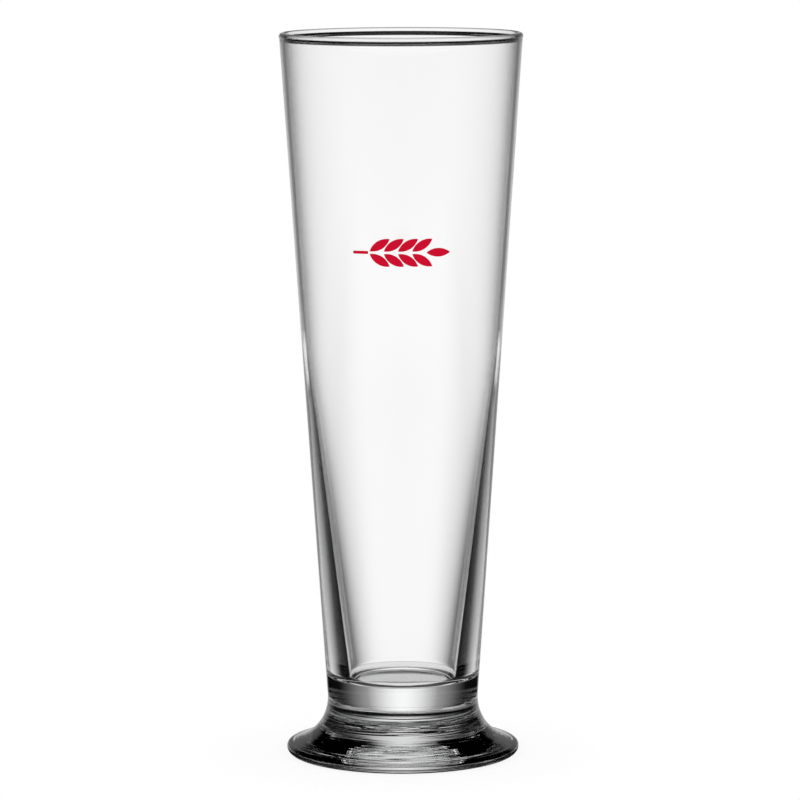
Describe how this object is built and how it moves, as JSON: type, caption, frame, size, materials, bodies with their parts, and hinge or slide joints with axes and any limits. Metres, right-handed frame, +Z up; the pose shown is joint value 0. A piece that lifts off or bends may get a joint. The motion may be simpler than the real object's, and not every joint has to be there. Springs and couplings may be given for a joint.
{
  "type": "pilsner glass",
  "caption": "Tall footed pilsner glass: a tapered clear bowl with a heavy solid bottom, welded to a flared round foot, with a small enamel barley ear on the front.",
  "frame": {"origin": "centre of the ring that the foot stands on", "axes": "+Z up along the glass's axis; the printed front faces -Y"},
  "size_m": [0.0736, 0.0736, 0.22],
  "materials": {
    "bowl_glass": "clear soda-lime glass, blown and fire-polished",
    "foot_glass": "clear soda-lime glass, pressed, with faint chill ripples",
    "red_enamel": "opaque screen-printed enamel, fired to a gloss"
  },
  "bodies": {
    "root": {"bowl": "bowl_glass", "foot": "foot_glass", "enamel_print": "red_enamel"}
  },
  "joints": []
}
